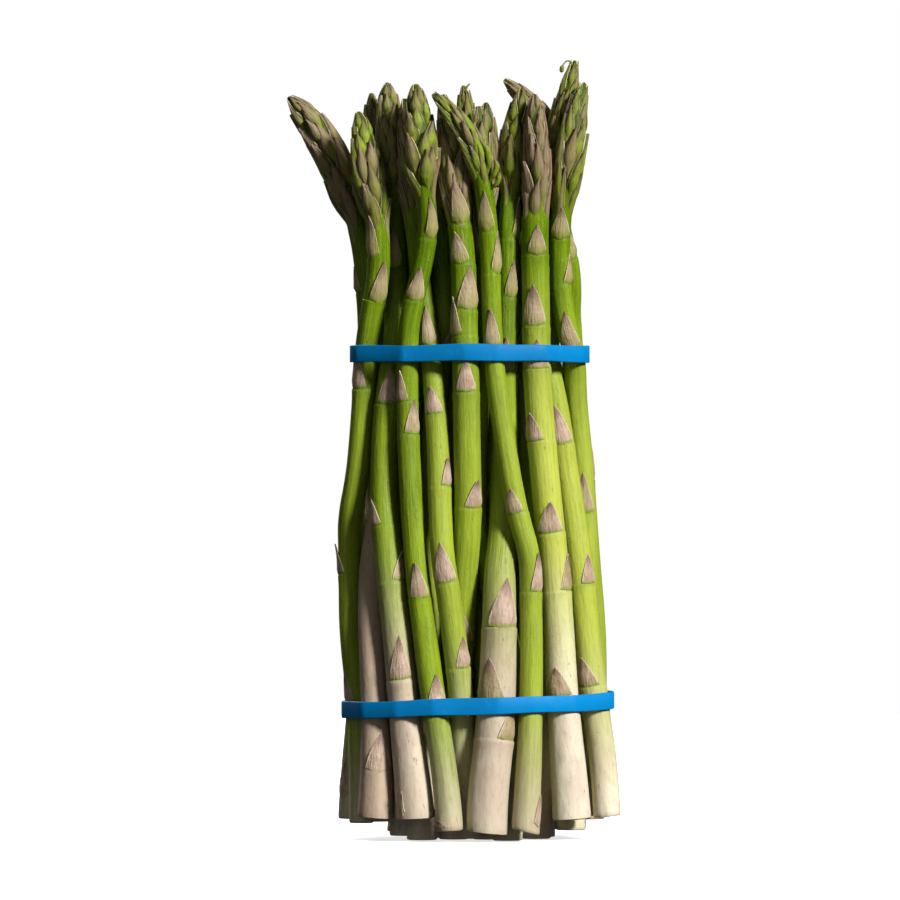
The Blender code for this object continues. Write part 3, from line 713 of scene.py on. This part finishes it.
def add_head(skin, spear, rng):
    """The scales of the head. Each lies over a bud, so it stands out, with creases beside it."""
    path = spear["path"]
    head = path.length - path.neck
    count = spear["scales"]
    facing = rng.uniform(0, 360)
    for k in range(count):
        share = k / (count - 1)
        start = path.neck + head * (SCALES_START + SCALES_RUN * share**0.95)
        long = head * (SCALE_LENGTH - SCALE_SHORTENING * share) * rng.uniform(*SCALE_STRETCH)
        long = min(long, path.length + 0.2 - start)
        lift = (0.15 + spear["loose"]) * rng.uniform(0.0, 1.7) * (1 - 0.7 * share)
        if share > RAGGED_START:
            lift += rng.uniform(0.0, 0.6)
        crease = rng.uniform(*CREASE_DEPTH)
        plump = rng.uniform(*PLUMPNESS)
        root = 0.7 + 0.32 * max(0.0, 1 - share * 4)

        def shape(v, u, along):
            rise = np.clip(v / 0.4, 0, 1)
            rise = rise * rise * (3 - 2 * rise)
            full = path.radius(along) * closing(path, along)
            sunk = root + (plump * 1.03 - root) * rise
            return np.maximum(full * (sunk - crease * np.abs(u) ** 2.2) + lift * v**2.5, 0.35)

        spread = (SCALE_SPREAD + SCALE_WIDENING * min(share * 5, 1)) * rng.uniform(*SPREAD_CHANGE)
        kind = min(1.0, 0.7 + share * 3)
        add_scale(skin, spear, start, facing, long, spread, scale_outline, shape, kind, rng.random(),
                  rng.uniform(*SKEW), 0.12)
        facing += GOLDEN_TURN + rng.uniform(*TURN_CHANGE)


def add_peel(skin, spear, height, facing, long, spread, lift):
    """A torn strip of skin that stays on by its lower end."""
    path = spear["path"]

    def shape(v, u, along):
        return path.radius(along) + 0.15 + 0.2 * np.clip(v / 0.2, 0, 1) + lift * v**2 * (1 + 0.4 * u)

    start = path.along_at(height + spear["foot"])
    add_scale(skin, spear, start, facing, long, spread, bract_outline, shape, 0.0, 0.2, 8.0, 0.15)


def add_twig(skin, spear, stops, sizes):
    """A thin stalk or bud through the given stops, with its radius at each. They may pass the tip."""
    path = spear["path"]
    places = []
    for height, right, back in stops:
        centre = path.at(path.along_at(height))
        places.append((centre[0] + right, centre[1] + back, height))
    knots = np.array(places)
    run = np.arange(len(knots))
    t = np.linspace(0, len(knots) - 1, TWIG_STEPS * (len(knots) - 1) + 1)
    line = np.column_stack([np.interp(t, run, knots[:, k]) for k in range(3)])
    for _ in range(TWIG_EASE):
        line[1:-1] = (line[:-2] + 2 * line[1:-1] + line[2:]) / 4
    size = np.interp(t, run, sizes)
    ahead = unit(np.gradient(line, axis=0))
    side = unit(np.cross(ahead, np.array([0.3, 1.0, 0.1])))
    over = np.cross(ahead, side)
    turn = np.arange(TWIG_SIDES) * math.tau / TWIG_SIDES
    rims = side[:, None] * np.cos(turn)[None, :, None] + over[:, None] * np.sin(turn)[None, :, None]
    points = line[:, None] + rims * size[:, None, None]
    start, end = (line[k] + rims[k] * TWIG_END for k in (0, -1))
    points = np.concatenate((start, points.reshape(-1, 3), end))
    rows = len(line) + 2
    flow = points + spear["seed"] * 10
    skin.add(points, grid_faces(rows, TWIG_SIDES, True), 1, flow, kind=1.0, head=0.5, shade=0.3,
             rise=np.repeat(np.linspace(0.3, 1.0, rows), TWIG_SIDES))


def new_object(name, data):
    """An object of the given data, put in the scene."""
    made = bpy.data.objects.new(name, data)
    bpy.context.scene.collection.objects.link(made)
    return made


class Nodes:
    """A short way to write a material's nodes."""

    def __init__(self, name):
        self.material = bpy.data.materials.new(name)
        self.material.use_nodes = True
        self.tree = self.material.node_tree
        self.shader = self.tree.nodes["Principled BSDF"]

    def new(self, kind, inputs=None, **settings):
        """A node with the given settings, and a value or a linked socket for each input."""
        node = self.tree.nodes.new(kind)
        for key, value in settings.items():
            setattr(node, key, value)
        for place, value in (inputs or {}).items():
            self.put(node.inputs[place], value)
        return node

    def put(self, socket, value):
        if isinstance(value, bpy.types.NodeSocket):
            self.tree.links.new(value, socket)
        else:
            socket.default_value = value

    def set(self, name, value):
        """A value or a linked socket for one input of the shader."""
        self.put(self.shader.inputs[name], value)

    def value(self, name, kind="Fac"):
        return self.new("ShaderNodeAttribute", attribute_name=name).outputs[kind]

    def math(self, operation, first, second, clamp=False):
        inputs = {0: first, 1: second}
        return self.new("ShaderNodeMath", inputs, operation=operation, use_clamp=clamp).outputs[0]

    def span(self, value, low, high, start=0.0, end=1.0):
        """A value that eases from start at low to end at high."""
        inputs = {"Value": value, "From Min": low, "From Max": high, "To Min": start, "To Max": end}
        return self.new("ShaderNodeMapRange", inputs, interpolation_type="SMOOTHSTEP").outputs["Result"]

    def mix(self, share, first, second):
        """A colour between two others, which are the node's inputs 6 and 7."""
        return self.new("ShaderNodeMix", {0: share, 6: first, 7: second}, data_type="RGBA").outputs[2]

    def noise(self, place, scale, stretch, detail, rough=0.5):
        """Noise between 0 and 1, in places that are first stretched along each axis."""
        spread = self.new("ShaderNodeVectorMath", {0: place, 1: stretch}, operation="MULTIPLY").outputs[0]
        inputs = {"Vector": spread, "Scale": scale, "Detail": detail, "Roughness": rough}
        return self.new("ShaderNodeTexNoise", inputs).outputs["Fac"]

    def bump(self, height, strength, distance):
        inputs = {"Height": height, "Strength": strength, "Distance": distance}
        self.set("Normal", self.new("ShaderNodeBump", inputs).outputs["Normal"])


def stem_material():
    """The stem: pale or tan at the foot, green above, fine lengthwise streaks, specks, painted shade on the
    head's core.
    """
    n = Nodes("asparagus_stem")
    flow = n.value("flow", "Vector")
    height = n.value("height")
    broad = n.noise(flow, 0.07, (1, 1, 0.5), 3)
    streaks = n.noise(flow, 1.1, (1, 1, 0.05), 4, 0.6)
    fine = n.noise(flow, 3.0, (1, 1, 0.07), 3, 0.6)
    specks = n.noise(flow, 1.9, (1, 1, 0.5), 2)
    green = n.mix(n.span(broad, 0.3, 0.7), GREEN_DEEP, GREEN_FRESH)
    green = n.mix(n.span(height, 90, 200), n.mix(0.45, green, GREEN_LOW), green)
    green = n.mix(n.span(height, 150, 215, 0, 0.75), green, GREEN_TOP)
    yellowing = n.math("MULTIPLY", n.value("tint"), n.span(height, 190, 110), clamp=True)
    green = n.mix(yellowing, green, GREEN_YELLOW)
    pale = n.mix(n.span(broad, 0.35, 0.65), PALE_CREAM, PALE_WARM)
    pale = n.mix(n.value("tan"), pale, TAN)
    edge = n.math("ADD", n.value("pale"), n.span(streaks, 0.3, 0.7, -3, 3))
    greening = n.span(n.math("SUBTRACT", height, edge), -26, 40)
    scuffs = n.noise(flow, 0.55, (1, 1, 0.4), 5, 0.65)
    pale = n.mix(n.span(scuffs, 0.45, 0.75, 0, 0.35), pale, SCUFF)
    marks = n.noise(flow, 0.9, (1, 1, 0.35), 4, 0.6)
    skin = n.mix(greening, pale, green)
    boldness = n.span(greening, 0.1, 0.9, 0.2, 1)
    light = n.math("MULTIPLY", n.span(streaks, 0.5, 0.66, 0, 0.35), boldness)
    dark = n.math("MULTIPLY", n.span(streaks, 0.5, 0.34, 0, 0.35), boldness)
    hairline = n.math("MULTIPLY", n.span(fine, 0.52, 0.7, 0, 0.4), boldness)
    skin = n.mix(light, skin, n.mix(0.6, skin, STREAK_LIGHT))
    skin = n.mix(dark, skin, n.mix(0.5, skin, STREAK_DARK))
    skin = n.mix(hairline, skin, n.mix(0.5, skin, STREAK_DARK))
    skin = n.mix(n.span(specks, 0.66, 0.74, 0, 0.4), skin, SPECK)
    skin = n.mix(n.span(marks, 0.68, 0.72, 0, 0.6), skin, SCUFF)
    grain = n.noise(flow, 4.0, (1, 1, 0.4), 2)
    skin = n.mix(n.span(grain, 0.48, 0.75, 0, 0.35), skin, n.mix(0.6, skin, STREAK_LIGHT))
    line = n.math("MULTIPLY", n.value("edge"), n.span(greening, 0.0, 1.0, 0.12, 0.35))
    skin = n.mix(line, skin, NODE_LINE)
    # Painted shade: the head's core, seen in the gaps between the scales, is darkened
    skin = n.mix(n.span(n.value("head"), 0.12, 0.38), skin, HEAD_GAP_SHADE)
    skin = n.mix(n.value("cut"), skin, CUT_FACE)
    n.set("Base Color", skin)
    n.set("Roughness", n.span(streaks, 0.3, 0.7, 0.36, 0.5))
    n.set("Specular IOR Level", 0.16)
    ribs = n.math("ADD", n.math("MULTIPLY", streaks, 0.7), n.math("MULTIPLY", fine, 0.3))
    ribs = n.math("MULTIPLY", ribs, boldness)
    dents = n.math("SUBTRACT", n.math("MULTIPLY", scuffs, 0.8), n.span(marks, 0.66, 0.72))
    n.bump(n.math("ADD", ribs, dents), 0.5, 0.0006)
    return n.material


def scale_material():
    """Bracts and head scales: taupe or green, pale thin edges, purple-brown tips, painted shade at the sides.
    """
    n = Nodes("asparagus_scale")
    flow = n.value("flow", "Vector")
    names = ("height", "rise", "edge", "kind", "purple", "shade")
    height, rise, edge, kind, purple, shade = map(n.value, names)
    streaks = n.noise(flow, 2.4, (1, 0.2, 0.12), 4, 0.6)
    mottle = n.noise(flow, 0.5, (1, 0.3, 0.6), 3)
    bract = n.mix(n.span(mottle, 0.3, 0.7), BRACT_TAUPE, BRACT_PINK)
    bract = n.mix(n.span(height, 120, 205, 0, 0.5), bract, BRACT_HIGH)
    bract = n.mix(n.span(shade, 0.4, 1.0, 0, 0.45), bract, BRACT_GREENISH)
    leafy = n.math("MULTIPLY", n.span(height, 135, 200, 0, 0.75), n.span(rise, 0.55, 0.0))
    bract = n.mix(leafy, bract, BRACT_LEAF)
    bract = n.mix(n.span(rise, 0.5, 0.95), bract, BRACT_TIP)
    bract = n.mix(n.span(edge, 0.84, 1.0, 0, 0.8), bract, n.mix(leafy, BRACT_EDGE, SCALE_EDGE))
    rim = n.math("MULTIPLY", n.span(rise, 0.0, 0.12, 0.9, 0), n.span(height, 12, 45))
    bract = n.mix(rim, bract, BRACT_BASE)
    leaf = n.mix(n.span(shade, 0.2, 0.8), SCALE_GREEN, SCALE_OLIVE)
    leaf = n.mix(n.span(mottle, 0.35, 0.7, 0, 0.5), leaf, SCALE_TIP_COLOR)
    reach = n.math("ADD", rise, n.math("MULTIPLY", edge, 0.25))
    browning = n.span(reach, n.math("SUBTRACT", 0.62, n.math("MULTIPLY", purple, 0.45)), 1.15)
    leaf = n.mix(browning, leaf, n.mix(purple, SCALE_TIP_COLOR, SCALE_PURPLE))
    leaf = n.mix(n.math("MULTIPLY", purple, n.span(rise, 0.1, 0.5, 0.2, 0.7)), leaf, SCALE_PURPLE)
    leaf = n.mix(n.span(shade, 0.7, 0.95, 0, 0.45), leaf, SCALE_PURPLE)
    # Painted shade: each head scale darkens towards its sides, where its neighbours overlap it
    leaf = n.mix(n.span(edge, 0.5, 0.88, 0, 0.7), leaf, CREASE_SHADE)
    leaf = n.mix(n.span(edge, 0.88, 1.0, 0, 0.8), leaf, n.mix(purple, SCALE_EDGE, DRY_EDGE))
    skin = n.mix(kind, bract, leaf)
    skin = n.mix(n.span(streaks, 0.5, 0.68, 0, 0.5), skin, n.mix(0.5, skin, STREAK_DARK))
    n.set("Base Color", skin)
    n.set("Roughness", n.span(streaks, 0.3, 0.7, 0.42, 0.6))
    n.set("Specular IOR Level", 0.3)
    n.bump(n.math("ADD", streaks, mottle), 0.8, 0.0005)
    return n.material


def rubber_material():
    """Blue rubber with a dusty bloom and fine scuffs."""
    n = Nodes("blue_rubber")
    place = n.new("ShaderNodeTexCoord").outputs["Object"]
    dust = n.noise(place, 220, (1, 1, 1), 4, 0.65)
    broad = n.noise(place, 28, (1, 1, 2), 3)
    color = n.mix(n.span(broad, 0.3, 0.7), BLUE_DEEP, BLUE_BRIGHT)
    color = n.mix(n.span(dust, 0.55, 0.8, 0, 0.35), color, BLUE_DUST)
    n.set("Base Color", color)
    n.set("Roughness", n.span(dust, 0.3, 0.7, 0.42, 0.6))
    n.set("Specular IOR Level", 0.12)
    n.bump(dust, 0.25, 0.0002)
    return n.material


def build_spear(number, spear, looks, rng):
    """One spear with its bracts and head, in place of its plain solid."""
    name = f"spear_{number:02d}"
    skin = Skin()
    add_stem(skin, spear)
    add_bracts(skin, spear, rng)
    add_head(skin, spear, rng)
    for owner, *peel in PEELS:
        if owner == number:
            add_peel(skin, spear, *peel)
    for owner, stops, sizes in TWIGS:
        if owner == number:
            add_twig(skin, spear, stops, sizes)
    piece = new_object(name + "_skin", skin.mesh(name + "_skin", spear, looks))
    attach(piece, "root")
    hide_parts(name)


def band_outline(spears, height, tilt, reach):
    """The stretched band's run round the spears: straight from one to the next, a little off their skin."""
    spots = []
    slope = math.tan(math.radians(tilt))
    for spear in spears:
        path = spear["path"]
        for rise in (-BAND_HEIGHT / 2, BAND_HEIGHT / 2):
            level = height + rise
            place = path.at(path.along_at(level))
            along = path.along_at(level + place[0] * slope)
            place = path.at(along)
            out = path.radius(along) * 1.02 + reach
            for turn in np.linspace(0, math.tau, BAND_ROUNDING, endpoint=False):
                spots.append(Vector((place[0] + out * math.cos(turn), place[1] + out * math.sin(turn))))
    return even_loop(np.array([tuple(spots[k]) for k in geometry.convex_hull_2d(spots)]))


def even_loop(corners):
    """A closed run of corners, taken again at even steps along it."""
    closed = np.vstack((corners, corners[:1]))
    run = np.concatenate(([0.0], np.cumsum(np.linalg.norm(np.diff(closed, axis=0), axis=1))))
    stops = np.linspace(0, run[-1], BAND_STEPS, endpoint=False)
    return np.column_stack([np.interp(stops, run, closed[:, k]) for k in (0, 1)])


def build_band(name, height, tilt, spears, look, seed):
    """A flat rubber band with soft edges, which waves and thins a little on its way round."""
    loop = band_outline(spears, height, tilt, BAND_GAP)
    ahead = unit(np.roll(loop, -1, axis=0) - np.roll(loop, 1, axis=0))
    outward = np.column_stack((ahead[:, 1], -ahead[:, 0]))
    turn = np.linspace(0, math.tau, BAND_STEPS, endpoint=False)
    wave = BAND_WAVE * np.sin(turn * 3 + seed) + BAND_RIPPLE * np.sin(turn * 7 + seed * 2)
    half = BAND_HEIGHT / 2 * (1 + BAND_THINNING * np.sin(turn * 5 + seed))
    slope = math.tan(math.radians(tilt))
    rows = []
    for side, edge in ((1, -1), (1, 1), (-1, 1), (-1, -1)):
        for k in range(BAND_CORNER_STEPS):
            angle = math.pi / 2 * k / (BAND_CORNER_STEPS - 1)
            swing = angle if side == edge else math.pi / 2 - angle
            out = BAND_THICKNESS / 2 + side * (BAND_THICKNESS / 2 - BAND_CORNER * (1 - math.cos(swing)))
            rise = edge * (half - BAND_CORNER * (1 - math.sin(swing)))
            place = loop + outward * out
            rows.append(np.column_stack((place, height + rise + wave + place[:, 0] * slope)))
    points = np.stack(rows, axis=1).reshape(-1, 3)
    faces = grid_faces(BAND_STEPS + 1, len(rows), True) % len(points)
    mesh = bpy.data.meshes.new(name + "_rubber")
    mesh.from_pydata((points * MM).tolist(), [], faces.tolist())
    mesh.materials.append(look)
    mesh.shade_smooth()
    piece = new_object(name + "_rubber", mesh)
    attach(piece, "root")
    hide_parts(name)


def build_floor():
    """A pale round floor that turns pure white away from the bundle, and throws no light back on it."""
    mesh = bpy.data.meshes.new("floor")
    turns = [math.tau * k / FLOOR_SIDES for k in range(FLOOR_SIDES)]
    rim = [(FLOOR_RADIUS * math.cos(turn), FLOOR_RADIUS * math.sin(turn), 0) for turn in turns]
    mesh.from_pydata(rim, [], [tuple(range(FLOOR_SIDES))])
    n = Nodes("pale_floor")
    n.set("Base Color", FLOOR_COLOR)
    n.set("Roughness", 0.9)
    n.set("Specular IOR Level", 0.1)
    n.set("Emission Color", WHITE)
    place = n.new("ShaderNodeTexCoord").outputs["Object"]
    away = n.new("ShaderNodeVectorMath", {0: place}, operation="LENGTH").outputs["Value"]
    n.set("Emission Strength", n.span(away, *FLOOR_FADE, FLOOR_GLOW, 1.0))
    mesh.materials.append(n.material)
    piece = new_object("floor", mesh)
    piece.location.z = -FLOOR_DROP
    piece.visible_diffuse = False
    piece.visible_glossy = False


def add_sun(name, azimuth, elevation, strength, softness):
    """A soft studio light from far off. The azimuth runs from the front to the right, in degrees."""
    light = bpy.data.lights.new(name, "SUN")
    light.energy = strength
    light.angle = math.radians(softness)
    turn = math.radians(azimuth)
    rise = math.radians(elevation)
    toward = Vector((math.sin(turn) * math.cos(rise), -math.cos(turn) * math.cos(rise), math.sin(rise)))
    new_object(name, light).rotation_euler = toward.to_track_quat("Z", "Y").to_euler()


def add_background(tree, strength):
    """A white background of the given strength among a world's nodes."""
    node = tree.nodes.new("ShaderNodeBackground")
    node.inputs["Color"].default_value = WHITE
    node.inputs["Strength"].default_value = strength
    return node


def build_studio():
    """A bright white room: the background reads white, and gives less light than the lamps."""
    world = bpy.data.worlds.new("studio")
    bpy.context.scene.world = world
    world.use_nodes = True
    tree = world.node_tree
    tree.nodes.clear()
    seen = add_background(tree, 1.0)
    ambient = add_background(tree, AMBIENT)
    rays = tree.nodes.new("ShaderNodeLightPath")
    mix = tree.nodes.new("ShaderNodeMixShader")
    out = tree.nodes.new("ShaderNodeOutputWorld")
    tree.links.new(rays.outputs["Is Camera Ray"], mix.inputs[0])
    tree.links.new(ambient.outputs[0], mix.inputs[1])
    tree.links.new(seen.outputs[0], mix.inputs[2])
    tree.links.new(mix.outputs[0], out.inputs["Surface"])
    for light in LIGHTS:
        add_sun(*light)
    bpy.context.scene.view_settings.view_transform = "Standard"


def build_camera():
    camera = bpy.data.cameras.new("camera")
    camera.sensor_width = SENSOR_WIDTH
    camera.lens = SENSOR_WIDTH * CAMERA_DISTANCE / FRAME_HEIGHT
    camera.clip_end = CAMERA_REACH
    holder = new_object("camera", camera)
    holder.location = (AIM_X, -CAMERA_DISTANCE, AIM_Z)
    holder.rotation_euler = (math.radians(90), 0, 0)
    bpy.context.scene.camera = holder


def dress(spears):
    """Each spear's own looks, with less detail on the spears inside the bundle."""
    rng = random.Random(DRESS_SEED)
    for number, spear in enumerate(spears, 1):
        shown = number <= len(FRONT_SPEARS)
        looks = SHOWN_LOOKS[number - 1] if shown else [rng.uniform(*span) for span in HIDDEN_LOOKS] + [0.0]
        spear.update(zip(LOOK_NAMES, looks))
        spear.update(seed=rng.uniform(0, 60), ribs=rng.uniform(0.006, 0.014))
        inner = not shown and spear["ring"][0] < 1
        fine, grid, scales = INNER_DETAIL if inner else OUTER_DETAIL
        spear.update(inner=inner, fine=fine, grid=grid, scales=scales)


def main():
    build_camera()
    build_studio()
    build_floor()
    spears = plan_spears()
    dress(spears)
    looks = (stem_material(), scale_material())
    rng = random.Random(SCALE_SEED)
    for number, spear in enumerate(spears, 1):
        build_spear(number, spear, looks, rng)
    rubber = rubber_material()
    build_band("band_upper", BAND_HIGH, 0.0, spears, rubber, 1.0)
    build_band("band_lower", BAND_LOW, LOWER_BAND_TILT, spears, rubber, 2.6)


main()
